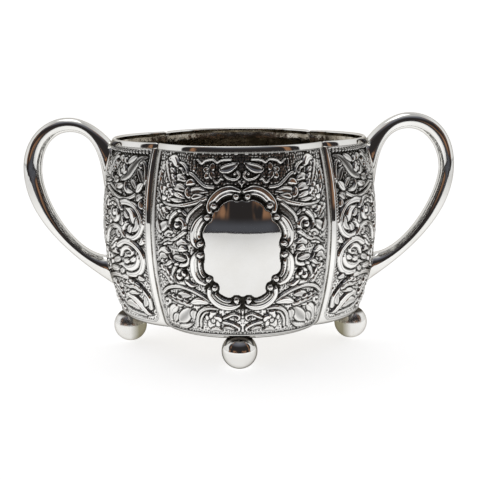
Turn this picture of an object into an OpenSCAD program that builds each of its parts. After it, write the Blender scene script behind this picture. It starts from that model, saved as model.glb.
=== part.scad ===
// Four-lobed silver sugar bowl with two loop handles and four ball feet.
// Origin: centre of the footprint on the table, +X through a handle, +Z up. Millimetres.

/* [Bowl] */
// Distance from the bowl's axis to the widest point of a lobe
bowl_r = 50; // [45:1:60]
// Distance from the bowl's axis to the axis that each lobe is turned about
lobe_offset = 15; // [12:1:20]
// Height of the widest point above the table
belly_z = 46; // [42:1:50]
// Radius of the barrel curve of the wall, seen from the side
belly_curve_r = 100; // [80:1:140]
// Height of the wall's top edge, under the rim wire
wall_top_z = 74.4; // [70:0.2:80]
// Height of the underside of the base
base_z = 10.5; // [9:0.5:12]
// Radius of the turn from the wall into the base
corner_r = 5; // [4:0.5:7]
// Thickness of the silver sheet
wall = 1; // [0.8:0.1:1.4]

/* [Rim wire] */
// Radius of the half-round wire on the rim
rim_wire_r = 0.9; // [0.7:0.1:1.2]

/* [Cartouche] */
// Half width of the raised shield on the front and the back lobe
cartouche_half_w = 16.5; // [14:0.5:18]
// Half height of the shield
cartouche_half_h = 20; // [18:0.5:22]
// Height of the shield's centre above the table
cartouche_z = 42.5; // [40:0.5:46]
// How far the shield stands proud of the lobe
cartouche_rise = 0.9; // [0.5:0.1:1.2]

/* [Feet] */
// Radius of a ball foot
ball_r = 6.1; // [5.5:0.1:7]
// Distance from the bowl's axis to the centre of a ball
foot_ring_r = 41.3; // [40:0.1:42]
// How far the front ball was soldered inwards of its true place
front_foot_in = 1.3; // [0:0.1:2]
// How far the front ball was soldered to the left of its true place
front_foot_left = 1.1; // [0:0.1:2]
// Depth of the flat that wear has left under a ball
ball_flat = 0.15; // [0.1:0.05:0.3]

/* [Handles] */
// Half width of a handle across the loop, at mid length
handle_half_w = 3.4; // [3:0.1:4]
// Extra half width at the two ends, where a handle spreads on the wall
handle_spread = 1.4; // [0.8:0.1:2]

/* [Hidden] */
$fn = 96;

// Turn about +Z that carries the right lobe onto each of the others
RIGHT = 0;
BACK = 90;
LEFT = 180;
FRONT = 270;

lobe_r = bowl_r - lobe_offset;
barrel_x = lobe_r - belly_curve_r;
corner_z = base_z + corner_r;
corner_x = barrel_x + sqrt(pow(belly_curve_r - corner_r, 2) - pow(belly_z - corner_z, 2));
tangent_z = belly_z - belly_curve_r * (belly_z - corner_z) / (belly_curve_r - corner_r);
rim_lobe_r = barrel_x + sqrt(pow(belly_curve_r, 2) - pow(wall_top_z - belly_z, 2));
rim_wire_seat = rim_wire_r / 2;
reach = 2 * bowl_r;

// Outer and inner edge of each hand-made handle in the XZ plane: three cubic curves each, from
// the upper end on the wall, over the top and down to the lower end. The left handle is drawn as
// if it stood on the right.
RIGHT_OUTER = [
    [[46, 73.8], [49.4, 78.7], [55.5, 84], [62.2, 84]],
    [[62.2, 84], [71.8, 84], [78.9, 76.4], [78.9, 64.5]],
    [[78.9, 64.5], [78.9, 50], [69, 36.5], [47.4, 21.8]]
];
RIGHT_INNER = [
    [[49.5, 57], [50.4, 66], [51.6, 78.2], [62, 78.2]],
    [[62, 78.2], [68.2, 78.2], [73.4, 71.5], [73.4, 63.5]],
    [[73.4, 63.5], [73.2, 54.5], [61.5, 33], [49.4, 32.3]]
];
LEFT_OUTER = [
    [[46, 73.8], [49.4, 78.2], [55.5, 83.2], [62.2, 83.2]],
    [[62.2, 83.2], [71.2, 83.2], [78.9, 75.4], [78.9, 64.5]],
    [[78.9, 64.5], [78.9, 50], [69, 36.5], [47.4, 21.8]]
];
LEFT_INNER = [
    [[49.5, 57], [50.4, 66], [51.4, 78], [61.6, 78]],
    [[61.6, 78], [67.8, 78], [72.2, 72.2], [72.2, 63.5]],
    [[72.2, 63.5], [72.2, 53.5], [61.3, 33], [49.4, 32.3]]
];
curve_count = len(RIGHT_OUTER);
steps_per_curve = 12;
sides = 16;
// How far the swept handle runs into the wall before it is cut to fit
handle_tuck = 0.8;

function cubic(p, t) =
    pow(1 - t, 3) * p[0] + 3 * pow(1 - t, 2) * t * p[1] + 3 * (1 - t) * t * t * p[2] + t * t * t * p[3];

function along(edge, s) =
    let (k = min(floor(s), len(edge) - 1))
    cubic(edge[k], s - k);

// Half width of the handle at s: it grows towards both ends
function half_width(s) =
    let (from_middle = abs(2 * s / curve_count - 1))
    handle_half_w + handle_spread * pow(from_middle, 4);

// One oval ring of a handle between its two edges, shifted by dx along X
function ring(outer_edge, inner_edge, s, dx) =
    let (
        outer = along(outer_edge, s),
        inner = along(inner_edge, s),
        middle = (outer + inner) / 2,
        half = (outer - inner) / 2,
        w = half_width(s)
    )
    [for (k = [0 : sides - 1])
        let (a = 360 * k / sides)
        [middle[0] + half[0] * cos(a) + dx, w * sin(a), middle[1] + half[1] * cos(a)]];

// Outline of one lobe in its own axis plane, drawn inwards by inset
module lobe_outline(inset) {
    top = wall_top_z + inset;
    intersection() {
        translate([barrel_x, belly_z]) circle(r = belly_curve_r - inset, $fn = 360);
        translate([0, tangent_z]) square([reach, top - tangent_z]);
    }
    translate([0, base_z + inset]) square([corner_x, corner_r]);
    intersection() {
        translate([corner_x, corner_z]) circle(r = corner_r - inset);
        translate([corner_x, base_z]) square([corner_r, corner_r]);
    }
}

// Solid of the whole right lobe, turned about the lobe's own axis
module lobe_solid() {
    translate([lobe_offset, 0, 0]) rotate_extrude() lobe_outline(0);
}

// Quarter of space that belongs to the right lobe, up to the two creases
module lobe_sector() {
    translate([0, 0, -1])
        linear_extrude(reach)
            polygon([[0, 0], [reach, -reach], [reach, reach]]);
}

// Outline of the raised shield: a block with two scroll bulges on each side, top and bottom
module cartouche_outline() {
    bulge_share = 0.46;
    end_share = 0.44;
    side_share = 0.52;
    bulge_r = cartouche_half_w * bulge_share;
    side_x = cartouche_half_w - bulge_r;
    end_x = cartouche_half_w * end_share;
    end_z = cartouche_half_h - bulge_r;
    side_z = end_z * side_share;
    square([2 * side_x, 2 * end_z], center = true);
    for (sx = [-1, 1], sz = [-1, 1]) {
        translate([sx * side_x, sz * side_z]) circle(r = bulge_r);
        translate([sx * end_x, sz * end_z]) circle(r = bulge_r);
    }
}

// Raised shield on the right lobe, following the lobe's curve
module cartouche() {
    intersection() {
        translate([lobe_offset, 0, 0])
            rotate_extrude()
                difference() {
                    translate([barrel_x, belly_z])
                        circle(r = belly_curve_r + cartouche_rise, $fn = 360);
                    translate([barrel_x, belly_z])
                        circle(r = belly_curve_r, $fn = 360);
                    translate([-2 * reach, -reach])
                        square([2 * reach, 3 * reach]);
                    translate([0, wall_top_z])
                        square([reach, reach]);
                    translate([0, -reach])
                        square([reach, reach + tangent_z]);
                }
        translate([0, 0, cartouche_z])
            rotate([90, 0, 90])
                linear_extrude(reach)
                    cartouche_outline();
    }
}

// Struck wall panel of one lobe, from crease to crease, without the floor
module panel(turn, shield) {
    color("silver") rotate([0, 0, turn]) {
        intersection() {
            translate([lobe_offset, 0, 0])
                rotate_extrude()
                    difference() {
                        lobe_outline(0);
                        lobe_outline(wall);
                        square([corner_x, base_z + corner_r]);
                    }
            lobe_sector();
        }
        if (shield) cartouche();
    }
}

// Half-round wire soldered on the top edge of one panel
module rim_wire_profile() {
    difference() {
        translate([rim_lobe_r - wall / 2, wall_top_z + rim_wire_seat]) circle(r = rim_wire_r);
        translate([0, wall_top_z - reach]) square([reach, reach]);
    }
}

module rim_wire(turn) {
    color("silver") rotate([0, 0, turn])
        intersection() {
            translate([lobe_offset, 0, 0]) rotate_extrude() rim_wire_profile();
            lobe_sector();
        }
}

// Flat four-lobed floor, soldered inside the turned-in edges of the panels
module base_plate() {
    color("silver") translate([0, 0, base_z])
        linear_extrude(wall) {
            square([2 * lobe_offset, 2 * lobe_offset], center = true);
            for (turn = [RIGHT, BACK, LEFT, FRONT])
                rotate([0, 0, turn]) translate([lobe_offset, 0]) circle(r = corner_x);
        }
}

// Loop handle: oval rings swept between the two edges, cut to sit on the wall
module handle(turn, outer_edge, inner_edge) {
    last = curve_count * steps_per_curve;
    rings = concat(
        [ring(outer_edge, inner_edge, 0, -handle_tuck)],
        [for (k = [0 : last]) ring(outer_edge, inner_edge, k / steps_per_curve, 0)],
        [ring(outer_edge, inner_edge, curve_count, -handle_tuck)]
    );
    count = len(rings);
    points = [for (r = rings) each r];
    sides_faces = [for (i = [0 : count - 2], k = [0 : sides - 1])
        let (n = (k + 1) % sides)
        [i * sides + k, i * sides + n, (i + 1) * sides + n, (i + 1) * sides + k]];
    first_cap = [for (k = [sides - 1 : -1 : 0]) k];
    last_cap = [for (k = [0 : sides - 1]) (count - 1) * sides + k];
    color("silver") rotate([0, 0, turn])
        difference() {
            polyhedron(points, concat(sides_faces, [first_cap, last_cap]), convexity = 4);
            lobe_solid();
            translate([lobe_offset, 0, 0]) rotate_extrude() rim_wire_profile();
        }
}

// Ball foot with a small worn flat, scribed to the turn of the lobe above it. A hand-soldered ball
// may stand a little inwards and to one side.
module foot(turn, inwards, sideways) {
    color("silver") rotate([0, 0, turn])
        difference() {
            translate([foot_ring_r - inwards, sideways, ball_r - ball_flat]) sphere(r = ball_r);
            translate([0, -reach / 2, -reach]) cube([reach, reach, reach]);
            lobe_solid();
        }
}

panel(FRONT, true);  // panel_front
panel(RIGHT, false);  // panel_right
panel(BACK, true);  // panel_back
panel(LEFT, false);  // panel_left
rim_wire(FRONT);  // rim_wire_front
rim_wire(RIGHT);  // rim_wire_right
rim_wire(BACK);  // rim_wire_back
rim_wire(LEFT);  // rim_wire_left
base_plate();
handle(LEFT, LEFT_OUTER, LEFT_INNER);  // handle_left
handle(RIGHT, RIGHT_OUTER, RIGHT_INNER);  // handle_right
foot(FRONT, front_foot_in, -front_foot_left);  // foot_front
foot(RIGHT, 0, 0);  // foot_right
foot(BACK, 0, 0);  // foot_back
foot(LEFT, 0, 0);  // foot_left
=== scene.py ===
"""Silver sugar bowl: chased four-lobed body, loop handles and ball feet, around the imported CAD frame."""
import math

import bpy
import numpy as np
from mathutils import Matrix, Vector


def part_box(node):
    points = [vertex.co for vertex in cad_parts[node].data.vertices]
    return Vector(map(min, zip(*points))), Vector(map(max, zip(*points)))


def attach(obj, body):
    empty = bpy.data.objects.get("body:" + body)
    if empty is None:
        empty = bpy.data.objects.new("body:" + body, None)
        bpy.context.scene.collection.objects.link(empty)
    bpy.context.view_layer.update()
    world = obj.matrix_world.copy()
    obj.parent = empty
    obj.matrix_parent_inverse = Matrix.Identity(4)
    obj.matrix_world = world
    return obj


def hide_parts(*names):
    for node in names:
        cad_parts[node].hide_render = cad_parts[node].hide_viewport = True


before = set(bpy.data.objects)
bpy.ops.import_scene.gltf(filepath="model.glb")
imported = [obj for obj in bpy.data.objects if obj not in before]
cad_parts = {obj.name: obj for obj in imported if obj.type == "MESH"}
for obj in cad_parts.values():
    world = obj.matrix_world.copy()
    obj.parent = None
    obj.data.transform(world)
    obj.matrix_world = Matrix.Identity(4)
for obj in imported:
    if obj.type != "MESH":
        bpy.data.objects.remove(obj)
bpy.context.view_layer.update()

MM = 0.001
LOBES = ("right", "back", "left", "front")

# ---- sizes of the bowl, in millimetres
panel_low, panel_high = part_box("panel_right")
BOWL_R = panel_high.x / MM
CREASE = panel_high.y / MM
WALL_TOP = panel_high.z / MM
BASE_Z = panel_low.z / MM
# Each lobe is turned about its own axis, this far from the bowl's
LOBE_OFFSET = (BOWL_R ** 2 - 2 * CREASE ** 2) / (2 * (BOWL_R - CREASE))
LOBE_R = BOWL_R - LOBE_OFFSET
# Barrel curve of the wall, and the turn from the wall into the floor
BELLY_Z = 46.0
BELLY_CURVE_R = 100.0
CORNER_R = 5.0
BARREL_X = LOBE_R - BELLY_CURVE_R
CORNER_Z = BASE_Z + CORNER_R
CORNER_X = BARREL_X + math.sqrt((BELLY_CURVE_R - CORNER_R) ** 2 - (BELLY_Z - CORNER_Z) ** 2)
# Sheet, rim wire and the worn flat under a ball foot
WALL = 1.0
RIM_WIRE_R = 0.9
BALL_FLAT = 0.15

# ---- sizes of the chasing, in millimetres
# Grid that holds half a panel: u runs along the wall from the middle of the lobe, z is the height
CELL = 0.1
FIELD_U = 41.0
FIELD_Z = (10.0, 75.0)
# Top of the chased field, and radius of its lower corners
FIELD_TOP = 73.9
FIELD_CORNER = 3.0
# Depth of the ground below the plain border, and height of a stroke with a lift of 1
GROUND = 0.52
RELIEF = 1.3
# Width of the dark line round a stroke, and depth of a chased line
OUTLINE = 0.66
LINE_DEPTH = 0.18
# Pitch of the grains punched into the ground
GRAIN_PITCH = 0.94
# Leaves and buds are this much wider than their given width
FULLNESS = 1.3
# Oxide on the shield, where 1 is black
SHIELD_DULL = 0.17


# ---- shape of the wall
def turned(points, turn):
    """Points turned about +Z by a number of quarter turns."""
    c = (1, 0, -1, 0)[turn % 4]
    s = (0, 1, 0, -1)[turn % 4]
    p = np.asarray(points, float)
    return np.stack([c * p[..., 0] - s * p[..., 1], s * p[..., 0] + c * p[..., 1], p[..., 2]], -1)


def crease_angle(rho):
    """Angle about a lobe's axis at which a circle of radius rho reaches the crease plane."""
    return math.pi / 4 + np.arcsin(LOBE_OFFSET / (math.sqrt(2) * rho))


def crease_line(z):
    """Distance along the wall from the middle of a lobe to its crease, at heights above the floor's turn."""
    rho = BARREL_X + np.sqrt(BELLY_CURVE_R ** 2 - (np.maximum(z, CORNER_Z) - BELLY_Z) ** 2)
    return LOBE_R * crease_angle(rho)


def wall_path(spacing):
    """Radius, height and outward normal along the wall's outer profile, from the floor to the rim."""
    tangent = -math.asin((BELLY_Z - CORNER_Z) / (BELLY_CURVE_R - CORNER_R))
    top = math.asin((WALL_TOP - BELLY_Z) / BELLY_CURVE_R)
    relief_start = math.radians(-50)
    coarse = np.linspace(-math.pi / 2, relief_start, 9, endpoint=False)
    fine_count = max(3, int(CORNER_R * (tangent - relief_start) / spacing))
    fine = np.linspace(relief_start, tangent, fine_count, endpoint=False)
    corner = np.concatenate([coarse, fine])
    barrel = np.linspace(tangent, top, int(BELLY_CURVE_R * (top - tangent) / spacing))
    rho = np.concatenate([CORNER_X + CORNER_R * np.cos(corner), BARREL_X + BELLY_CURVE_R * np.cos(barrel)])
    z = np.concatenate([CORNER_Z + CORNER_R * np.sin(corner), BELLY_Z + BELLY_CURVE_R * np.sin(barrel)])
    angle = np.concatenate([corner, barrel])
    return rho, z, np.cos(angle), np.sin(angle)


# ---- chasing tools
def fade(value, start, end):
    """0 where a value is at start or before it, 1 from end on, and a straight line between."""
    return np.clip((value - start) / (end - start), 0, 1)


def ridge(value, at, reach):
    """1 where a value is at its place, falling away like a bell on both sides."""
    return np.exp(-((value - at) / reach) ** 2)


def smooth_curve(points, spacing=0.35):
    """Points every spacing mm along a Catmull-Rom curve through the given points."""
    p = np.array(points, float)
    extended = np.vstack([2 * p[0] - p[1], p, 2 * p[-1] - p[-2]])
    parts = []
    for k in range(len(p) - 1):
        a, b, c, d = extended[k:k + 4]
        count = max(2, int(np.ceil(np.linalg.norm(c - b) / spacing)))
        t = np.linspace(0, 1, count, endpoint=False)[:, None]
        parts.append(0.5 * (2 * b + (c - a) * t + (2 * a - 5 * b + 4 * c - d) * t ** 2
                            + (3 * b - a - 3 * c + d) * t ** 3))
    return np.vstack(parts + [p[-1:]])


def spiral(centre, radius, start, turns, inner):
    """Points of a spiral that starts at an angle in degrees and winds in to inner times its radius."""
    t = np.linspace(0, 1, max(6, int(abs(turns) * 14)))
    angle = np.radians(start + 360 * turns * t)
    r = radius * (1 - (1 - inner) * t ** 0.85)
    return [(centre[0] + a * np.cos(b), centre[1] + a * np.sin(b)) for a, b in zip(r, angle)]


def hash01(i, j, salt):
    """A number from 0 to 1 that belongs to a grid cell, the same in every run."""
    value = np.sin(i * 127.1 + j * 311.7 + salt * 74.7) * 43758.5453
    return value - np.floor(value)


class Relief:
    """Half of a chased field: its height, its chased lines and what raised work covers.

    Points are (u, z) in millimetres, and a lift of 1 is RELIEF high.
    """

    def __init__(self, edge):
        self.edge = edge
        self.u = np.arange(0, FIELD_U, CELL)
        self.z = np.arange(FIELD_Z[0], FIELD_Z[1], CELL)
        self.U, self.Z = np.meshgrid(self.u, self.z)
        self.height = np.zeros_like(self.U)
        self.line = np.zeros_like(self.U)
        self.cover = np.zeros_like(self.U)

    def window(self, low, high):
        """Slices of the grid that hold a box."""
        first_row = max(0, int((low[1] - FIELD_Z[0]) / CELL))
        last_row = min(len(self.z), int((high[1] - FIELD_Z[0]) / CELL) + 2)
        first_column = max(0, int(low[0] / CELL))
        last_column = min(len(self.u), int(high[0] / CELL) + 2)
        return slice(first_row, last_row), slice(first_column, last_column)

    def sweep(self, points, widths, extra):
        """Distance to a curve as a share of its half width, and that half width, in a box round it."""
        path = smooth_curve(points)
        length = np.concatenate([[0], np.cumsum(np.linalg.norm(np.diff(path, axis=0), axis=1))])
        along = length / max(length[-1], 1e-6)
        widths = np.interp(along, np.linspace(0, 1, len(widths)), widths)
        reach = widths.max() + extra
        box = self.window(path.min(0) - reach, path.max(0) + reach)
        nearest = np.full(self.U[box].shape, 9.0)
        width = np.full(nearest.shape, widths.mean())
        for a, b, start_w, end_w in zip(path, path[1:], widths, widths[1:]):
            reach = max(start_w, end_w) + extra
            rows, columns = self.window(np.minimum(a, b) - reach, np.maximum(a, b) + reach)
            if rows.stop <= rows.start or columns.stop <= columns.start:
                continue
            x, y = self.U[rows, columns] - a[0], self.Z[rows, columns] - a[1]
            d = b - a
            t = np.clip((x * d[0] + y * d[1]) / max(d @ d, 1e-9), 0, 1)
            w = start_w + (end_w - start_w) * t
            share = np.hypot(x - t * d[0], y - t * d[1]) / w
            part = (slice(rows.start - box[0].start, rows.stop - box[0].start),
                    slice(columns.start - box[1].start, columns.stop - box[1].start))
            closer = share < nearest[part]
            nearest[part][closer] = share[closer]
            width[part][closer] = w[closer]
        return box, nearest, width

    def stroke(self, points, widths, lift=0.5, hollow=0.0, outline=OUTLINE):
        """A raised stroke with a chased line around it; a hollow one is dished between its rims."""
        box, share, width = self.sweep(points, widths, outline + 0.2)
        inside = share < 1
        dome = np.sqrt(np.clip(1 - share ** 4, 0, 1))
        raised = RELIEF * lift * dome * (1 - hollow * np.clip(1 - share ** 2, 0, 1) ** 0.8)
        old = self.height[box]
        self.height[box] = np.where(inside, np.maximum(raised + 0.2 * old, 0.03), old)
        self.cover[box][inside] = 1.0
        away = (share - 1) * width
        ring = np.clip(1.5 * (1 - (away / outline) ** 2), 0, 1) * (away > 0)
        dish = 0.8 * hollow * np.clip(1 - (share / 0.75) ** 2, 0, 1)
        self.line[box] = np.where(inside, dish, np.maximum(self.line[box], ring))

    def chase(self, points, width, dark):
        """A line chased into what is there already."""
        box, share, _ = self.sweep(points, [width, width], 0.05)
        self.line[box] = np.maximum(self.line[box], dark * np.clip(1.15 - share ** 2, 0, 1))

    def bead(self, centre, radius, lift=0.5, ring=False):
        """A round boss, with a chased ring if asked for."""
        dot = [centre, (centre[0] + 0.01, centre[1])]
        self.stroke(dot, [radius, radius], lift)
        if ring:
            self.chase(dot, radius * 0.35, 0.9)

    def stem(self, points, width, lift=0.42, groove=True):
        """A stroke of even width, with a groove along it."""
        self.stroke(points, [width, width], lift)
        if groove:
            self.chase(points, 0.13, 0.65)

    def drop(self, points, width, hollow=0.0, lift=0.5, lean=0.7):
        """A tear shape: thin where it starts, widest at lean of its length."""
        width = width * FULLNESS
        t = np.linspace(0, 1, 9)
        body = np.where(t < lean, np.sin(0.5 * np.pi * t / lean) ** 0.9,
                        np.sqrt(np.clip(1 - ((t - lean) / (1 - lean)) ** 2 * 0.75, 0, 1)))
        self.stroke(points, np.maximum(width * body, 0.16), lift, hollow)

    def blade(self, points, width, hollow=0.0, lift=0.5, vein=True):
        """A pointed leaf, widest in the middle, with a chased vein."""
        width = width * FULLNESS
        t = np.linspace(0, 1, 9)
        self.stroke(points, np.maximum(width * np.sin(np.pi * t) ** 0.7, 0.14), lift, hollow)
        if vein and not hollow:
            self.chase(points, 0.12, 0.55)

    def frond(self, points, width, lobes=4, sides=(-1, 1)):
        """An acanthus leaf: bold lobes that lean towards the tip, then the rib over them."""
        width = width * FULLNESS
        path = smooth_curve(points, 0.3)
        for k in range(lobes):
            t = 0.10 + 0.74 * k / (lobes - 1)
            i = min(int(t * (len(path) - 1)), len(path) - 2)
            along = path[i + 1] - path[i]
            along = along / np.linalg.norm(along)
            size = width * (0.65 + 0.6 * np.sin(np.pi * min(t + 0.12, 1)))
            for side in sides:
                out = np.array([-along[1], along[0]]) * side
                mid = path[i] + 0.55 * size * (0.75 * out + 0.45 * along)
                tip = path[i] + size * (0.72 * out + 0.95 * along)
                self.blade([path[i], mid, tip], 0.30 * size + 0.08, vein=False)
                self.chase([path[i] + 0.3 * size * out, mid, 0.3 * mid + 0.7 * tip], 0.11, 0.6)
        t = np.linspace(0, 1, 7)
        self.stroke(points, np.maximum(0.36 * width * (1 - t) ** 0.5, 0.16), lift=0.525)
        self.chase(points, 0.13, 0.7)

    def curl(self, centre, radius, start, turns, width, lift=0.45, inner=0.3):
        """A scroll that winds in to a bead."""
        points = spiral(centre, radius, start, turns, inner)
        self.stroke(points, [width * 0.5, width, width, width * 0.8], lift)
        self.bead(points[-1], width * 1.35, lift * 1.1)

    def flower(self, centre, radius, petals, turn):
        """Petals with a chased line each, round a bead."""
        c = np.array(centre)
        angle = np.radians(turn + 360 * np.arange(petals) / petals)
        ways = np.stack([np.cos(angle), np.sin(angle)], -1)
        for d in ways:
            self.drop([c + 0.15 * radius * d, c + 0.6 * radius * d, c + radius * d * 0.8],
                      radius * 0.40, lift=0.52, lean=0.75)
        for d in ways:
            self.chase([c + 0.3 * radius * d, c + 0.72 * radius * d], 0.12, 0.7)
        self.bead(centre, radius * 0.25, ring=radius > 1.6)

    def free(self, points, room):
        """True if the points are in the field and no raised work lies within room of them."""
        low, high = 13.6 + room, 71.8 - room
        for u, z in points:
            if not (0 <= u <= self.edge - room and low <= z <= high):
                return False
            box = self.window((u - room, z - room), (u + room, z + room))
            if self.cover[box].max() > 0.5:
                return False
        return True

    def fill_gaps(self, length, width, pitch, salt):
        """Small leaves on what is left of the ground, each turned to where it fits."""
        low, high, tries = 13, 72, 10
        for i in range(int((high - low) / pitch)):
            for j in range(int(self.edge / pitch)):
                u = (j + hash01(i, j, salt)) * pitch
                z = low + (i + hash01(i, j, salt + 1)) * pitch
                for k in range(tries):
                    turn = 2 * np.pi * (hash01(i, j, salt + 2) + k / tries)
                    bend = turn + 0.7
                    root = np.array([u, z])
                    mid = root + 0.5 * length * np.array([np.cos(turn), np.sin(turn)])
                    tip = mid + 0.5 * length * np.array([np.cos(bend), np.sin(bend)])
                    if self.free([root, mid, tip], 0.72 * width):
                        self.blade([root, mid, tip], width, 0.45 if k % 2 else 0.0, vein=False)
                        if k % 2 == 0:
                            self.chase([root, mid, 0.4 * mid + 0.6 * tip], 0.12, 0.6)
                        break

    def inside(self, outline):
        """Mask of the grid points inside a closed outline."""
        path = smooth_curve(outline, 0.3)
        mask = np.zeros(self.U.shape, bool)
        for (ax, ay), (bx, by) in zip(path, np.roll(path, -1, axis=0)):
            if ay != by:
                crossing = (ay > self.Z) != (by > self.Z)
                mask ^= crossing & (self.U < ax + (self.Z - ay) * (bx - ax) / (by - ay))
        return mask


# ---- chasing of the panels
def cartouche(r):
    """Blank shield in a recess, framed by scrolls in pairs with a bead on each end."""
    shield = [(-1.5, 59), (0, 58.9), (1.6, 58.4), (3.6, 58.9), (6, 57.9), (7.4, 56.6), (8, 55.5),
              (9.6, 54.9), (10.1, 53.5), (10.4, 52), (11.7, 51), (12.9, 49.2), (13.4, 47.2),
              (12.8, 45.6), (12.5, 44), (13.1, 42.4), (12.8, 40.6), (12.9, 39), (13.3, 37),
              (12.9, 34.8), (11.8, 33.9), (10.2, 33.2), (9.9, 31.7), (8.5, 30.9), (8, 29.4),
              (8.4, 27.9), (7.2, 26.9), (5.2, 26.1), (4, 26.2), (3, 26.9), (1.6, 27),
              (0.5, 26.5), (0, 26.4), (-1.5, 26.6)]
    wide = [
        [(0.9, 61.7), (3.6, 62.5), (6.2, 62), (8.5, 60.6), (10.3, 58.6), (11.1, 56.6), (10.8, 55)],
        [(13.4, 53.1), (15.2, 51.2), (16.4, 48.8), (16.7, 46.4), (16.2, 44.4), (15, 43.3)],
        [(15.2, 41), (16.7, 39), (17.1, 36.2), (16.7, 33.7), (15.3, 31.7), (13.2, 30.8)],
        [(11.7, 28.8), (11.6, 26.8), (10.3, 24.8), (8.2, 23.4), (5.8, 22.8), (3.4, 22.9), (1.5, 23.8)],
    ]
    narrow = [
        [(2.9, 60.8), (4.8, 60.8), (6.9, 59.9), (8.6, 58.2)],
        [(12.9, 51.6), (14.3, 49.6), (14.9, 47.5), (14.6, 45.9)],
        [(14.9, 38.7), (14.7, 36.2), (14.2, 34.2), (13.3, 33)],
        [(9.6, 27.3), (8.3, 26), (6.5, 25), (4.5, 24.8)],
    ]
    volutes = [(1.9, 59.9), (9.3, 56.8), (11.7, 53), (14.2, 44.2), (14.3, 40.3), (11.7, 32.2),
               (9.7, 29.3), (2.2, 25.2)]
    # The recess runs all round the shield, under the scrolls
    recess = [(0, 60.5), (4, 60.8), (8, 58.7), (10.5, 56), (11.8, 53.4), (14.8, 50.4), (15.6, 46.6),
              (14.4, 43.6), (14.8, 40.4), (15.6, 36.4), (14.4, 32.6), (11.6, 31.2), (10.8, 27.4),
              (7.4, 24.4), (3.4, 23.8), (0, 24.2)]
    half_width = 2.3
    box, share, _ = r.sweep(recess, [half_width, half_width], 0.3)
    inside = share < 1
    r.height[box][inside] = 0.0
    r.line[box][inside] = 1.0
    r.cover[box][inside] = 1.0
    # The shield itself is level with the plain border, and the finish knows it by its cover of 2
    area = r.inside(shield)
    r.height[area] = GROUND
    r.line[area] = 0.0
    r.cover[area] = 2.0
    for path in wide:
        r.stroke(path, [0.75, 1.1, 1.2, 1.2, 1.1, 0.8], 0.95)
    for path in narrow:
        r.stroke(path, [0.35, 0.5, 0.5, 0.35], 0.75, outline=0.25)
    # A line follows each wide scroll, a little nearer to the middle of the panel
    nearer = 0.962
    for path in wide:
        r.chase(smooth_curve(path)[2:-2] * [nearer, 1], 0.14, 0.55)
    for k, centre in enumerate(volutes):
        r.bead(centre, 1.05, 0.95)
        r.chase(spiral(centre, 0.72, 200 - 25 * k, 0.6, 0.4), 0.13, 0.8)


def dotted_edge(r):
    """A row of small round dots along the top of the field."""
    pitch, z, radius = 1.7, 72.7, 0.52
    for k in range(int(r.edge / pitch)):
        r.bead(((k + 0.5) * pitch, z), radius)


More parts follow.
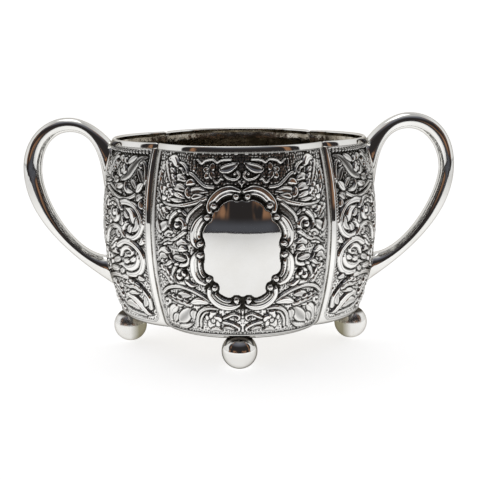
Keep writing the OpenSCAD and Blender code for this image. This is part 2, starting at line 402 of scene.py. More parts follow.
def front_panel():
    """Front and back: a shield in the middle, with sprays, flowers and scrolls round it."""
    r = Relief(35.4)
    # Top middle
    r.stem([(16.7, 71.6), (14.8, 70.5), (13.4, 71.4), (10.6, 71.8), (8.9, 70.9), (7.3, 71.6), (3.8, 71.9)],
           0.3, 0.45, False)
    r.drop([(1, 70.9), (4, 69.4), (7.2, 68.6)], 1.15, 0.75, 0.6)
    r.stroke([(6.3, 66.9), (5, 66), (3.2, 65.4), (1.5, 65.7), (0.8, 66.9), (1.4, 67.9), (2.4, 67.7)],
             [0.2, 0.42, 0.42, 0.42, 0.3])
    r.bead((2.4, 67.2), 0.45)
    for tip in [(10.4, 70.2), (13.4, 68.6), (12.9, 66.2), (9.9, 65.9)]:
        r.drop([(11.2, 67.8), tip], 0.75, 0.5, 0.55, 0.55)
    r.stroke([(9.9, 65.5), (9.1, 64.5), (8.2, 64.5), (7.4, 65.6), (6.5, 65.4)],
             [0.2, 0.36, 0.36, 0.36, 0.2])
    r.blade([(0, 63), (0, 65.6)], 0.55, vein=False)
    r.drop([(0.1, 63.7), (0.9, 64.9)], 0.36)
    # Stems over the shoulder
    r.stem([(9.8, 62.9), (13, 63.2), (15.5, 64.8), (18.3, 66.8), (21.8, 67.6)], 0.42)
    r.stem([(17.9, 71.5), (17.5, 69.8), (17.8, 68)], 0.3, 0.42, False)
    r.drop([(11.9, 61.4), (14.9, 61.7), (18.1, 61.2)], 1, 0.7, 0.6, 0.8)
    r.drop([(12.8, 60), (14.9, 59.6), (17.3, 59.3)], 0.85, 0, 0.55, 0.8)
    # Spray towards the middle
    r.blade([(26, 64.4), (23.7, 65.7), (20.4, 64.8)], 0.85, 0.6)
    r.blade([(26.2, 61.6), (23.5, 62.4), (20.2, 61.6)], 0.95, 0.6)
    r.blade([(26, 60.4), (23.3, 59.7), (20.6, 59)], 0.7)
    r.stroke([(24.7, 70.6), (22.4, 69.9), (20.7, 68.4), (20, 66.6)], [0.2, 0.5, 0.5, 0.2])
    r.stroke([(24.3, 68.7), (22.7, 68.2), (21.9, 66.9)], [0.2, 0.42, 0.2])
    # Corner scroll with its flower and long leaf
    r.stem([(12.4, 59.3), (14.7, 58.2), (17.5, 57.4), (21, 56.6), (24.9, 56.1), (28.6, 56.5), (31.5, 58.2),
            (33.3, 61.2), (33.7, 64.8), (33.1, 68.2), (31.5, 70.6), (29.4, 71.3)], 0.58, 0.5)
    r.frond([(32.6, 61.6), (31.9, 64.6), (31.1, 67)], 1.7, 3, (1,))
    r.blade([(30.1, 71.2), (27.5, 71.2), (24.9, 69.2)], 1.25)
    r.frond([(30.6, 70), (29, 67), (27.7, 64.6), (26.5, 62.4)], 1.9)
    r.flower((28.7, 60.2), 2.7, 5, 100)
    r.drop([(31.7, 60), (32.2, 62.2)], 0.5)
    r.blade([(27.1, 58.3), (23.7, 57.9), (21.2, 58)], 0.5)
    # Middle of the side
    r.stem([(13.9, 57.5), (16.5, 55.5), (18.7, 53.3), (19.6, 51)], 0.42)
    r.stem([(33.8, 57.2), (31, 55.6), (28.1, 55.2), (25.2, 54.9), (22.2, 55), (20, 53.6)], 0.45)
    r.frond([(33.5, 55.2), (31, 53.4), (29.4, 51.6)], 1.7, 3)
    r.curl((22.7, 50.1), 4.6, 100, -1.35, 0.75, 0.5, 0.22)
    r.frond([(23.9, 54), (26, 52.2), (26.6, 49.6), (25.2, 47.4)], 1.25, sides=(1,))
    r.blade([(28.1, 50.2), (30.5, 48.8), (33.3, 47.4)], 1.15, 0.6)
    r.blade([(33.6, 50.8), (33.3, 48.6), (31.7, 46.4)], 0.9, 0.4)
    r.blade([(24.7, 46.9), (27.1, 46.6), (29.9, 45.8)], 0.95, 0.5)
    r.frond([(20, 47.8), (22.4, 46.2), (25, 44.8), (28.2, 44.6), (31.4, 43), (33.8, 42.4)], 1.15, 5)
    r.drop([(18.9, 43.8), (21.2, 44.4), (23.1, 43.4)], 0.8, 0.5)
    # Lower half of the side
    r.stroke([(27.3, 39.6), (25.8, 37.3), (22.9, 36.3), (20.2, 36.6), (18.8, 38.2), (19.4, 40.2),
              (21.2, 40.6)],
             [0.4, 0.55, 0.6, 0.6, 0.5, 0.3])
    r.blade([(25.6, 38.9), (23.1, 38.5), (20.2, 38.5)], 0.85, 0.6)
    r.curl((22.7, 32.6), 4.3, 80, -1.3, 0.85, 0.52, 0.24)
    r.bead((21.4, 33.4), 0.95, 0.55)
    r.frond([(25.2, 35.2), (26.6, 32.4), (25.2, 29.8)], 1.1, 3, (1,))
    r.blade([(27.1, 40.2), (30.5, 40.6), (33.8, 38.8)], 1)
    r.blade([(28.1, 37.9), (30.8, 38.7), (33.6, 37)], 0.8, 0.6)
    r.frond([(26.9, 37), (29.5, 35.6), (32.4, 35.4), (33.8, 34.2)], 1.3, 3)
    r.frond([(27.7, 29.6), (29.5, 31.8), (31.9, 33), (33.8, 32.6)], 1.7)
    r.drop([(16.5, 29.8), (18.7, 29.6), (20.6, 31)], 0.62)
    # Bottom
    r.stem([(34, 25.2), (30.5, 27.3), (26.6, 28.4), (22.8, 28.6), (18.9, 27.9), (15.1, 26.3), (12.6, 24.5)],
           0.62, 0.5)
    r.blade([(12.4, 23.7), (15.9, 24.2), (20.2, 23.2)], 0.95)
    r.blade([(19.5, 25.9), (23.3, 25.6), (27.3, 24)], 0.95, 0.6)
    r.frond([(20.2, 22.4), (23.9, 23), (28.1, 23.6), (31.7, 25)], 1.35)
    r.curl((31.7, 22.9), 1.9, 60, -1.1, 0.5, 0.5)
    r.blade([(26.8, 21.4), (29.9, 19.6), (32.1, 16.8), (33.8, 14.9)], 1.45)
    r.drop([(20.6, 21.2), (23.1, 18.6), (26.8, 16.2)], 1.7, 0.65, 0.6, 0.6)
    r.blade([(27.7, 18.4), (29.7, 16.6), (31.2, 14.9)], 0.75, 0.4)
    r.blade([(20.6, 15.6), (24.3, 14.2), (28.6, 14)], 0.6)
    r.blade([(32.4, 20), (33.6, 18.6), (34, 16.6)], 0.6)
    r.stem([(9.4, 21.9), (13, 21.9), (16.1, 20.6), (17.9, 18.2), (18.7, 15.2)], 0.62, 0.48)
    r.stem([(9.8, 20.7), (12.6, 20.6), (14.9, 19.6), (16.5, 17.6), (17.1, 15)], 0.4, 0.42, False)
    r.stroke([(9, 17.6), (6.4, 17), (3.6, 16.3), (1.7, 15.2), (1.4, 14.2), (2.4, 13.9)],
             [0.3, 0.75, 0.7, 0.6, 0.5, 0.3], 0.52)
    r.chase([(8.4, 17.4), (6.2, 16.9), (3.8, 16.2)], 0.12, 0.6)
    r.stroke([(7.9, 18.2), (5.6, 19.2), (3.4, 20.1), (1.6, 19.6), (1.3, 18.6), (2.2, 18.1), (2.8, 18.7)],
             [0.25, 0.5, 0.5, 0.45, 0.4, 0.3])
    r.flower((11.3, 17.6), 2.9, 5, 20)
    r.blade([(3.2, 14.3), (5.4, 15.2), (7.6, 15.2)], 0.5)
    r.blade([(8, 14), (10.6, 14.6), (13, 13.9)], 0.55)
    r.drop([(0, 20), (0, 21.6)], 0.4)
    cartouche(r)
    r.fill_gaps(3.6, 0.85, 1.8, 5)
    return r


def side_panel():
    """Left and right: scrolls and flowers, and a rosette between the ends of the handle."""
    r = Relief(36.2)
    dotted_edge(r)
    # Top: a ring with a long leaf across it
    r.stem([(7.2, 61), (13, 59), (18.5, 57.2), (23.7, 56.2), (28.4, 56.8), (32.3, 58.9), (34.8, 62.2),
            (35.3, 65.8), (34.6, 68.6), (33.1, 69.5), (31.9, 68.7), (32.5, 67.7)], 0.62, 0.5)
    r.stem([(14, 60.8), (18.7, 59.3), (23.2, 58.4)], 0.36, 0.42, False)
    r.drop([(35.3, 71.1), (32.1, 70.4), (29.2, 68), (26.5, 65.2), (23, 63.3)], 1.25, 0.8, 0.6, 0.74)
    r.drop([(30.8, 67), (32.8, 65.2), (33.9, 62.8)], 0.85, 0.8, 0.55, 0.55)
    r.drop([(34.8, 62.2), (33.3, 61.2), (31.9, 59.6)], 0.95)
    r.blade([(28.4, 63), (30.2, 61.8), (31.4, 60)], 0.7, 0.6)
    r.stroke([(25.9, 62.2), (25.7, 60.4), (27.1, 59.1), (29.6, 58.9)], [0.3, 0.8, 0.8, 0.3], 0.52)
    r.chase([(26, 61.2), (26.2, 60.1), (27.6, 59.3)], 0.13, 0.7)
    r.blade([(24.1, 61.4), (21.8, 60.5), (18.9, 60.6)], 0.85)
    r.flower((22, 67.6), 3.3, 5, 40)
    r.blade([(25.9, 68.6), (27.6, 70), (30.2, 71.2)], 0.8)
    r.blade([(20.4, 63.2), (18.7, 62.6), (16.9, 63.4)], 0.9, 0.6)
    r.frond([(17.7, 71), (15, 68.6), (13.8, 65.4), (15.2, 62.4)], 2)
    r.curl((8.9, 66.4), 3.8, 320, 1.3, 0.85)
    r.frond([(12.4, 61.9), (8.6, 61.6), (4.7, 63)], 1.4)
    r.frond([(0, 60.8), (0, 65), (0, 70.8)], 2.4)
    # Upper middle scroll
    r.stem([(22.2, 54.6), (26.7, 55.2), (31, 54.2), (33.7, 51.4), (34.4, 47.8), (33.1, 44.6), (30.2, 42.9),
            (26.9, 43.2), (25.1, 45.2), (25.7, 47.4), (27.3, 47.9)], 0.95, 0.54)
    r.drop([(26.9, 53.2), (29.8, 51.9), (31, 48.6)], 1.15)
    r.blade([(32.5, 50.4), (32.1, 47), (29.8, 45.2)], 0.75, 0.4)
    r.curl((20.2, 50.6), 3.3, 75, 1.2, 0.95, 0.52)
    r.frond([(24.1, 52.8), (21.6, 55.2), (17.5, 55.6), (14.2, 53.6)], 1.5, sides=(1,))
    r.stem([(25.9, 43), (23.5, 45.2), (20, 46.2), (15.9, 45.4), (12.8, 42.8), (11.3, 39.4)], 0.85, 0.52)
    r.frond([(11.5, 56.4), (9.7, 52.6), (10.5, 48.8), (13.4, 47)], 1.9)
    r.blade([(3.3, 58), (6.6, 57.2), (9.9, 58.2)], 0.8, 0.5)
    r.blade([(24.5, 50.2), (25.3, 48.6), (24.7, 47)], 0.6)
    # Lower middle scroll
    r.stem([(21.4, 39.6), (25.7, 41.3), (30.2, 40.7), (33.2, 38.2), (34.1, 34.8), (32.9, 31.6), (30, 29.9),
            (25.9, 29.7)], 1.05, 0.54)
    r.stroke([(32.1, 37.4), (31.8, 34.6), (29.8, 32.6), (26.7, 31.9), (23.2, 32.9), (21, 32.4)],
             [0.3, 1, 1.2, 1.1, 0.8, 0.2], 0.56)
    r.chase([(31.8, 36.2), (31.1, 34.2), (29.2, 32.8), (26.5, 32.3), (23.5, 32.9)], 0.13, 0.7)
    r.stroke([(23, 36), (24.5, 38.4), (27.3, 39.3), (29.6, 38.3), (29, 36.7), (27.1, 36.5)],
             [0.4, 0.8, 0.85, 0.7, 0.5, 0.4], 0.54)
    r.blade([(21.2, 36.6), (18.5, 37.4), (15.4, 36.6)], 1)
    r.blade([(22.2, 34.8), (19.1, 34), (16.1, 33.2)], 0.8, 0.5)
    r.frond([(20.6, 42), (18.3, 40.6), (16.5, 39.4), (13.6, 39.6)], 1.3)
    r.blade([(20, 31), (16.5, 30.2), (12.6, 31)], 1)
    r.curl((9.7, 35.6), 3.4, 60, 1.2, 0.85)
    # Bottom scroll
    r.stem([(4.1, 24.8), (9.3, 26.8), (15.4, 28.1), (21.6, 28.4), (27.1, 27.4), (31.6, 24.9), (34.4, 21.4),
            (34.8, 17.8)], 0.85, 0.54)
    r.frond([(31.4, 24.2), (28.2, 25.2), (24.5, 24.9), (21, 25.4)], 1.6)
    r.blade([(20.6, 21.4), (25.5, 21.2), (29.4, 18.8), (32.3, 16), (35.1, 15.2)], 1.25)
    r.drop([(32.8, 22.6), (32.8, 20.4), (32.2, 18.6)], 0.85, 0.5)
    r.blade([(30.4, 22.8), (27.3, 23), (24.5, 22.6)], 0.65)
    r.blade([(28.8, 16.6), (24.3, 18.2), (19.3, 17.8)], 1.1, 0.4)
    r.stem([(31.2, 14.6), (26.3, 14.9), (21, 15.6), (16.5, 17.4)], 0.42)
    r.frond([(18.3, 20.6), (14.8, 22.6), (11.3, 23.4), (7.8, 22.6)], 1.8)
    r.frond([(15.6, 15.2), (12.1, 17), (9.9, 19.6)], 1.5)
    r.curl((5.6, 17), 2.7, 150, -1.2, 0.75)
    r.frond([(0, 24), (0, 20), (0, 15)], 1.7)
    # Between the handle's ends
    r.flower((0, 42.2), 4.6, 8, 90)
    r.frond([(0, 48.2), (0, 52), (0, 57)], 2)
    r.curl((6.6, 51.4), 2.9, 230, 1.3, 0.8)
    r.frond([(10.3, 44.8), (8.2, 47.2), (4.7, 47.6)], 1.4)
    r.blade([(4.9, 37.6), (7.2, 41.6), (6, 45.6)], 0.95)
    r.curl((4.5, 33.2), 2.6, 330, -1.3, 0.75)
    r.stem([(0.4, 37.2), (1.6, 34.6), (1.2, 31.4), (2.7, 29), (6.2, 28.8)], 0.55)
    r.blade([(7.6, 31.4), (10.1, 30.4), (11.9, 29.8)], 0.7)
    rays(r)
    r.fill_gaps(5, 1.15, 2.2, 3)
    r.fill_gaps(3, 0.75, 1.7, 5)
    return r


def rays(r):
    """Short rays between the scrolls and the border."""
    spacing, root_u = 1.05, 36.4
    for low, count, length in ((48.8, 9, 1.2), (38.4, 7, 0.9), (26.6, 6, 1.4)):
        for k in range(count):
            z = low + spacing * k
            r.stroke([(root_u, z), (root_u - length, z + 0.5)], [0.26, 0.18], 0.35, outline=0.22)


# ---- finish of a chased field
def grains(U, Z, pitch):
    """Closeness to the nearest of many grains on a jittered grid: 1 in the middle of one, 0 between them."""
    jitter, radius = 0.6, 0.36
    nearest = np.full(U.shape, 9.0)
    column, row = np.floor(U / pitch), np.floor(Z / pitch)
    for du in (-1, 0, 1):
        for dz in (-1, 0, 1):
            i, j = column + du, row + dz
            x = (i + (1 - jitter) / 2 + jitter * hash01(i, j, 1)) * pitch
            y = (j + (1 - jitter) / 2 + jitter * hash01(i, j, 2)) * pitch
            nearest = np.minimum(nearest, np.hypot(U - x, Z - y))
    return np.clip(1 - (nearest / (radius * pitch)) ** 2, 0, 1)


def blur(grid, reach):
    """A grid blurred by a bell curve that reaches a number of cells each way."""
    cells = np.arange(-reach, reach + 1)
    weights = np.exp(-0.5 * (cells / (reach / 2)) ** 2)
    weights /= weights.sum()
    padded = np.pad(grid, reach, mode="edge")
    across = sum(w * padded[:, k:k + grid.shape[1]] for k, w in enumerate(weights))
    return sum(w * across[k:k + grid.shape[0]] for k, w in enumerate(weights))


def past_border(U, Z, edge, low_edge):
    """Distance outside the field, a rectangle with round lower corners; inside it is below zero."""
    corner_u = edge - FIELD_CORNER
    corner_z = low_edge + FIELD_CORNER
    round_off = np.hypot(np.maximum(U - corner_u, 0), np.maximum(corner_z - Z, 0)) - FIELD_CORNER
    square = np.maximum(U - edge, low_edge - Z)
    past = np.where((U > corner_u) & (Z < corner_z), round_off, square)
    return np.maximum(past, Z - FIELD_TOP)


def finish_field(r, margin, low_edge, painted_shade, margin_darkening, beading):
    """Height above the plain border, and oxide with painted shade, of a field that ends a margin short of
    the crease.

    Its top is darkened by an amount of painted shade, and the border beside it by another amount, more
    towards the top. Beading is a bright line inside the border.
    """
    U, Z = r.U, r.Z
    edge = (crease_line(r.z) - margin)[:, None]
    past = past_border(U, Z, edge, low_edge)
    bare = (r.cover < 0.5)
    grain = np.clip(1.8 * grains(U, Z, GRAIN_PITCH), 0, 1) * bare
    # Low on the wall the grains are pits, and from 56 mm up they stand proud
    grain_depth = np.interp(Z, (50, 56), (0.14, -0.09))
    height = r.height - LINE_DEPTH * r.line - grain * grain_depth - GROUND
    # A groove runs round the field
    height = height * fade(past, 0, -0.3) - 0.12 * ridge(past, 0.35, 0.22)
    # Painted reflection on the ground, over its oxide: light with dark pits low on the wall, where the white
    # table would show
    # Lighter still below 32 mm
    lower_wall = fade(Z, 32, 16)
    # High up it is painted dark with bright grains, where the dark room would show
    high = fade(Z, 46, 60)
    low_ground = 0.2 - 0.3 * lower_wall + 0.4 * fade(Z, 14.5, 13) + 1.1 * grain
    high_ground = 0.95 - 0.9 * grain
    # It gathers against the raised work
    crowded = blur(1.0 * (r.cover > 0.5), 9) * bare
    oxide_and_shade = low_ground + (high_ground - low_ground) * high + (1.3 - 0.8 * lower_wall - 0.6 * high) * crowded
    bevel = 0.8 * ridge(past, -0.12, 0.2)
    # Painted shade darkens the top of the field from 50 mm up
    dark = np.clip(r.line + bare * oxide_and_shade + painted_shade * fade(Z, 50, 70) + bevel, 0, 1) * fade(past, 0, -0.08)
    bright_line = beading * ridge(past, -0.35, 0.2)
    height = height + 0.4 * bright_line
    dark = dark * (1 - 0.85 * bright_line)
    # Dark groove, and between the field and the crease a border that darkens towards the top
    dark = np.maximum(dark, 0.6 * ridge(past, 0.35, 0.2))
    dark = np.maximum(dark, margin_darkening * (U > edge) * fade(Z, 36, 60))
    return height, np.where(r.cover > 1.5, SHIELD_DULL, dark)


# ---- meshes
def add_object(name, data):
    """Puts a new object in the scene."""
    added = bpy.data.objects.new(name, data)
    bpy.context.scene.collection.objects.link(added)
    return added


def make_piece(name, points, faces, node, materials, flat_faces, face_slots=None):
    """A smooth mesh in metres from points in millimetres, which stands for a CAD node and rides with it."""
    mesh = bpy.data.meshes.new(name)
    mesh.from_pydata((np.asarray(points) * MM).tolist(), [], faces)
    smooth = np.full(len(faces), True)
    smooth[flat_faces] = False
    mesh.polygons.foreach_set("use_smooth", smooth)
    for material in materials:
        mesh.materials.append(material)
    if face_slots is not None:
        mesh.polygons.foreach_set("material_index", face_slots)
    mesh.validate()
    mesh.update()
    piece = add_object(name, mesh)
    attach(piece, "root")
    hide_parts(node)
    return piece


def polished_tube(name, rings, turn, node, material):
    """A polished piece through closed rings of points, turned in place, with a flat cap on each end."""
    count, sides = rings.shape[:2]
    start = np.arange(count - 1)[:, None] * sides
    here = start + np.arange(sides)
    beside = start + (np.arange(sides) + 1) % sides
    faces = np.stack([here, beside, beside + sides, here + sides], -1).reshape(-1, 4).tolist()
    first_cap = list(range(sides))[::-1]
    last_cap = list(range((count - 1) * sides, count * sides))
    points = turned(rings.reshape(-1, 3), turn)
    make_piece(name, points, faces + [first_cap, last_cap], node, [material], [-2, -1])


def sample(grid, u, z):
    """Bilinear reading of a half field at |u| and z."""
    x = np.clip(np.abs(u) / CELL, 0, grid.shape[1] - 1.001)
    y = np.clip((z - FIELD_Z[0]) / CELL, 0, grid.shape[0] - 1.001)
    i, j = y.astype(int), x.astype(int)
    fy, fx = y - i, x - j
    below = grid[i, j] * (1 - fx) + grid[i, j + 1] * fx
    above = grid[i + 1, j] * (1 - fx) + grid[i + 1, j + 1] * fx
    return below * (1 - fy) + above * fy


# ---- pieces of the bowl
def panel(lobe, height, oxide_and_shade, materials):
    """Chased wall panel of one lobe: the relief outside, a plain sheet inside, closed all round."""
    spacing, fine_half = 0.235, 37.6
    edge_columns, inner_rows = 6, 24
    rho, z, normal_r, normal_z = wall_path(spacing)
    # The profile goes up the outside and comes down the inside
    pick = np.unique(np.linspace(0, len(rho) - 1, inner_rows).astype(int))[::-1]
    in_z = z[pick] - WALL * normal_z[pick]
    in_z[0] = WALL_TOP
    loop_rho = np.concatenate([rho, rho[pick] - WALL * normal_r[pick]])[:, None]
    loop_z = np.concatenate([z, in_z])[:, None]
    out_r = np.concatenate([normal_r, normal_r[pick]])[:, None]
    out_z = np.concatenate([normal_z, normal_z[pick]])[:, None]
    # Even columns in the middle, and on each side a few that spread out to the crease
    even = np.linspace(-fine_half, fine_half, int(2 * fine_half / spacing)) / LOBE_R
    spread = np.linspace(0, 1, edge_columns + 1)[1:]
    side = even[-1] + (crease_angle(loop_rho) - even[-1]) * spread
    angle = np.concatenate([-side[:, ::-1], np.broadcast_to(even, (len(loop_rho), len(even))), side], 1)
    lift = np.zeros_like(angle)
    dark = np.zeros_like(angle)
    rows = len(rho)
    u = angle[:rows] * LOBE_R
    row_z = np.broadcast_to(z[:, None], u.shape)
    lift[:rows] = sample(height, u, row_z)
    dark[:rows] = sample(oxide_and_shade, u, row_z)
    lift[:, (0, -1)] = 0
    dark[:rows, (0, -1)] = 0.45
    # Painted shade: the underside is darkened below 11.4 mm, where the bowl shades itself and the balls
    # reflect it
    dark[:rows] = np.maximum(dark[:rows], 0.9 * fade(z, 11.4, 10.9)[:, None])
    r = loop_rho + lift * out_r
    points = np.stack([LOBE_OFFSET + r * np.cos(angle), r * np.sin(angle), loop_z + lift * out_z], -1)
    loop, columns = angle.shape
    first = np.arange(loop) * columns
    here = first[:, None] + np.arange(columns - 1)
    over = np.roll(first, -1)[:, None] + np.arange(columns - 1)
    quads = np.stack([here, here + 1, over + 1, over], -1).reshape(-1, 4).tolist()
    ends = [first.tolist(), (first + columns - 1).tolist()[::-1]]
    # The top edge, the bottom edge and the two ends are flat
    row_of_quad = np.repeat(np.arange(loop), columns - 1)
    edges = np.nonzero((row_of_quad == rows - 1) | (row_of_quad == loop - 1))[0].tolist()
    face_slots = np.concatenate([(row_of_quad >= rows).astype(int), [0, 0]])
    points = turned(points.reshape(-1, 3), LOBES.index(lobe))
    piece = make_piece("chased_panel_" + lobe, points, quads + ends, "panel_" + lobe,
                       materials, edges + [-2, -1], face_slots)
    # The layer holds the oxide together with painted shade and painted reflection
    layer = piece.data.attributes.new("oxide_and_shade", "FLOAT", "POINT")
    layer.data.foreach_set("value", np.clip(dark, 0, 1).reshape(-1).astype(np.float32))


def rim_wire(lobe, material):
    """Flat-faced wire on the top edge of a panel: round on top, with a sharp lower edge on the wall."""
    sides, count = 36, 180
    half_height, half_width, lean = 1.05, 0.8, math.radians(20)
    middle = BARREL_X + math.sqrt(BELLY_CURVE_R ** 2 - (WALL_TOP - BELLY_Z) ** 2) - WALL / 2
    share = np.linspace(-1, 1, count)[:, None]
    # Filed thinner where it meets the next wire
    pinch = 1 - 0.30 * ridge((1 - np.abs(share)) * middle * 1.2, 0, 0.7)
    around = 2 * math.pi * np.arange(sides) / sides
    above = np.sin(around) > 0
    out = half_width * power(np.cos(around), np.where(above, 0.42, 0.06))
    up = half_height * power(np.sin(around), np.where(above, 0.85, 0.06))
    rho = middle + 0.2 + pinch * (out * math.cos(lean) - up * math.sin(lean))
    z = WALL_TOP + RIM_WIRE_R / 2 + pinch * (out * math.sin(lean) + up * math.cos(lean))
    angle = share * crease_angle(rho)
    rings = np.stack([LOBE_OFFSET + rho * np.cos(angle), rho * np.sin(angle), z], -1)
    polished_tube("lip_" + lobe, rings[:, ::-1], LOBES.index(lobe), "rim_wire_" + lobe, material)


def power(value, exponent):
    """A power that keeps the sign: a small exponent makes a round outline squarer."""
    return np.sign(value) * np.abs(value) ** exponent


# Outer and inner edge of each handle in the XZ plane: three cubic curves in a row, which share the
# points where they meet. The left one is drawn as if it stood on the right.
HANDLE_EDGES = {
    "right": (((46, 73.8), (49.4, 78.7), (55.5, 84), (62.2, 84), (71.8, 84), (78.9, 76.4), (78.9, 64.5),
               (78.9, 50), (69, 36.5), (47.4, 21.8)),
              ((49.5, 57), (50.4, 66), (51.6, 78.2), (62, 78.2), (68.2, 78.2), (73.4, 71.5), (73.4, 63.5),
               (73.2, 54.5), (61.5, 33), (49.4, 32.3))),
    "left": (((46, 73.8), (49.4, 78.2), (55.5, 83.2), (62.2, 83.2), (71.2, 83.2), (78.9, 75.4), (78.9, 64.5),
              (78.9, 50), (69, 36.5), (47.4, 21.8)),
             ((49.5, 57), (50.4, 66), (51.4, 78), (61.6, 78), (67.8, 78), (72.2, 72.2), (72.2, 63.5),
              (72.2, 53.5), (61.3, 33), (49.4, 32.3))),
}


def edge_points(edge, per_curve):
    """Points along the cubic curves of an edge, to its very end."""
    t = (np.arange(per_curve) / per_curve)[:, None]
    parts = []
    for start in range(0, len(edge) - 1, 3):
        a, b, c, d = np.array(edge[start:start + 4], float)
        parts.append((1 - t) ** 3 * a + 3 * (1 - t) ** 2 * t * b + 3 * (1 - t) * t ** 2 * c + t ** 3 * d)
    return np.vstack(parts + [edge[-1:]])


def handle(side, material):
    """Loop handle: oval rings between the two edges, spreading where it is soldered to the wall."""
    per_curve, sides = 64, 48
    half_width, flare, solder_flare = 3.4, 1.4, 0.8
    # How far the ends go into the wall
    tuck = np.array([0.9, 0, 0])
    outer, inner = (edge_points(edge, per_curve) for edge in HANDLE_EDGES[side])
    middle, half = (outer + inner) / 2, (outer - inner) / 2
    share = np.abs(np.linspace(-1, 1, len(middle)))
    width = half_width + flare * share ** 4 + solder_flare * np.exp(-(1 - share) / 0.02)
    around = 2 * math.pi * np.arange(sides) / sides
    x = middle[:, 0:1] + half[:, 0:1] * np.cos(around)
    y = width[:, None] * power(np.sin(around), 0.94)
    z = middle[:, 1:2] + half[:, 1:2] * np.cos(around)
    rings = np.stack([x, y, z], -1)
    rings = np.concatenate([rings[:1] - tuck, rings, rings[-1:] - tuck])
    turn = 0 if side == "right" else 2
    polished_tube("loop_handle_" + side, rings[:, ::-1], turn, "handle_" + side, material)


def foot(lobe, material):
    """Ball foot with a worn flat below; its top is let into the wall above it."""
    turn = LOBES.index(lobe)
    rows, sides, let_in = 72, 96, 0.4
    low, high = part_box("foot_" + lobe)
    ball_r = (high.y - low.y) / 2 / MM
    middle = (low + high) / 2 / MM
    out, aside, _ = turned([middle.x, middle.y, 0], -turn)
    polar = np.linspace(-math.pi / 2, math.pi / 2, rows + 1)[1:-1, None]
    around = 2 * math.pi * np.arange(sides) / sides
    x = out + ball_r * np.cos(polar) * np.cos(around)
    y = aside + ball_r * np.cos(polar) * np.sin(around)
    z = np.maximum(ball_r - BALL_FLAT + ball_r * np.sin(polar) + 0 * around, 0)
    bend = np.clip((np.hypot(x - LOBE_OFFSET, y) - CORNER_X) / CORNER_R, 0, 1)
    wall_skin = CORNER_Z - CORNER_R * np.sqrt(1 - bend ** 2)
    rings = np.stack([x, y, np.minimum(z, wall_skin + let_in)], -1)
    polished_tube("ball_foot_" + lobe, rings, turn, "foot_" + lobe, material)


# ---- materials
# Painted shade: these edge tints darken silver towards its outline, on the front ball most and on the chased
# panels more than elsewhere
EDGE_TINT = (0.42, 0.40, 0.37)
BALL_EDGE_TINT = (0.08, 0.07, 0.05)
CHASED_EDGE_TINT = (0.26, 0.25, 0.235)


class Shading:
    """Nodes of a material or a world. Their values are sockets, numbers or colours."""

    def __init__(self, owner):
        owner.use_nodes = True
        self.nodes = owner.node_tree.nodes
        self.links = owner.node_tree.links
        self.shader = self.nodes.get("Principled BSDF")

    def put(self, socket, value):
        """Links a socket, or sets a number, a vector or an opaque colour on it."""
        if isinstance(value, bpy.types.NodeSocket):
            self.links.new(value, socket)
        elif socket.type == "RGBA":
            socket.default_value = (*value, 1)
        else:
            socket.default_value = value

    def set(self, values):
        """Puts values on the shader."""
        for key, value in values.items():
            self.put(self.shader.inputs[key], value)

    def add(self, kind, values):
        """A new node with values on its inputs."""
        node = self.nodes.new(kind)
        for key, value in values.items():
            self.put(node.inputs[key], value)
        return node

    def place(self):
        """Where a point of the object is."""
        return self.nodes.new("ShaderNodeTexCoord").outputs["Object"]

    def split(self, vector):
        """The x, y and z of a vector."""
        return self.add("ShaderNodeSeparateXYZ", {"Vector": vector}).outputs

    def noise(self, coords, scale, detail, rough=0.5):
        """Cloudy pattern from 0 to 1."""
        values = {"Vector": coords, "Scale": scale, "Detail": detail, "Roughness": rough}
        return self.add("ShaderNodeTexNoise", values).outputs["Fac"]

    def ramp(self, value, stops):
        """Colours laid out along a value."""
        node = self.add("ShaderNodeValToRGB", {"Fac": value})
        elements = node.color_ramp.elements
        while len(elements) < len(stops):
            elements.new(0.5)
        for element, (at, colour) in zip(elements, stops):
            element.position = at
            element.color = (*colour, 1)
        return node.outputs["Color"]

    def mix(self, kind, factor, a, b):
        """Two colours, blended by a factor."""
        node = self.nodes.new("ShaderNodeMix")
        node.data_type = "RGBA"
        node.blend_type = kind
        # The colours are inputs 6 and 7 of this node
        for index, value in ((0, factor), (6, a), (7, b)):
            self.put(node.inputs[index], value)
        return node.outputs[2]

    def remap(self, value, low, high, to_low=0.0, to_high=1.0):
        """A straight line from to_low at low to to_high at high, level beyond."""
        values = {"Value": value, "From Min": low, "From Max": high, "To Min": to_low, "To Max": to_high}
        return self.add("ShaderNodeMapRange", values).outputs["Result"]

    def band(self, value, low, high):
        """0 up to low, 1 from high on, and a soft step between."""
        node = self.add("ShaderNodeMapRange", {"Value": value, "From Min": low, "From Max": high})
        node.interpolation_type = "SMOOTHSTEP"
        return node.outputs["Result"]

    def calc(self, kind, *values):
        """A math operation on one or two values."""
        node = self.nodes.new("ShaderNodeMath")
        node.operation = kind
        for socket, value in zip(node.inputs, values):
            self.put(socket, value)
        return node.outputs[0]

    def times(self, first, *others):
        """The product of values."""
        for other in others:
            first = self.calc("MULTIPLY", first, other)
        return first

    def minus(self, first, *others):
        """What is left of a value when others are taken from it."""
        for other in others:
            first = self.calc("SUBTRACT", first, other)
        return first

    def level_length(self, x, y):
        """Length of a vector as seen from above."""
        return self.calc("SQRT", self.calc("ADD", self.times(x, x), self.times(y, y)))

    def outside(self, value, low, high):
        """1 up to low, 0 from high on, and a soft step between."""
        return self.minus(1.0, self.band(value, low, high))

    def within(self, value, low, low_end, high, high_end):
        """1 between two soft steps, and 0 before the first and past the second."""
        return self.times(self.band(value, low, low_end), self.outside(value, high, high_end))

    def bump(self, height, strength, distance):
        """Surface direction of a dented surface."""
        values = {"Height": height, "Strength": strength, "Distance": distance}
        return self.add("ShaderNodeBump", values).outputs["Normal"]


def new_material(name):
    """A new material and its nodes."""
    material = bpy.data.materials.new(name)
    return material, Shading(material)


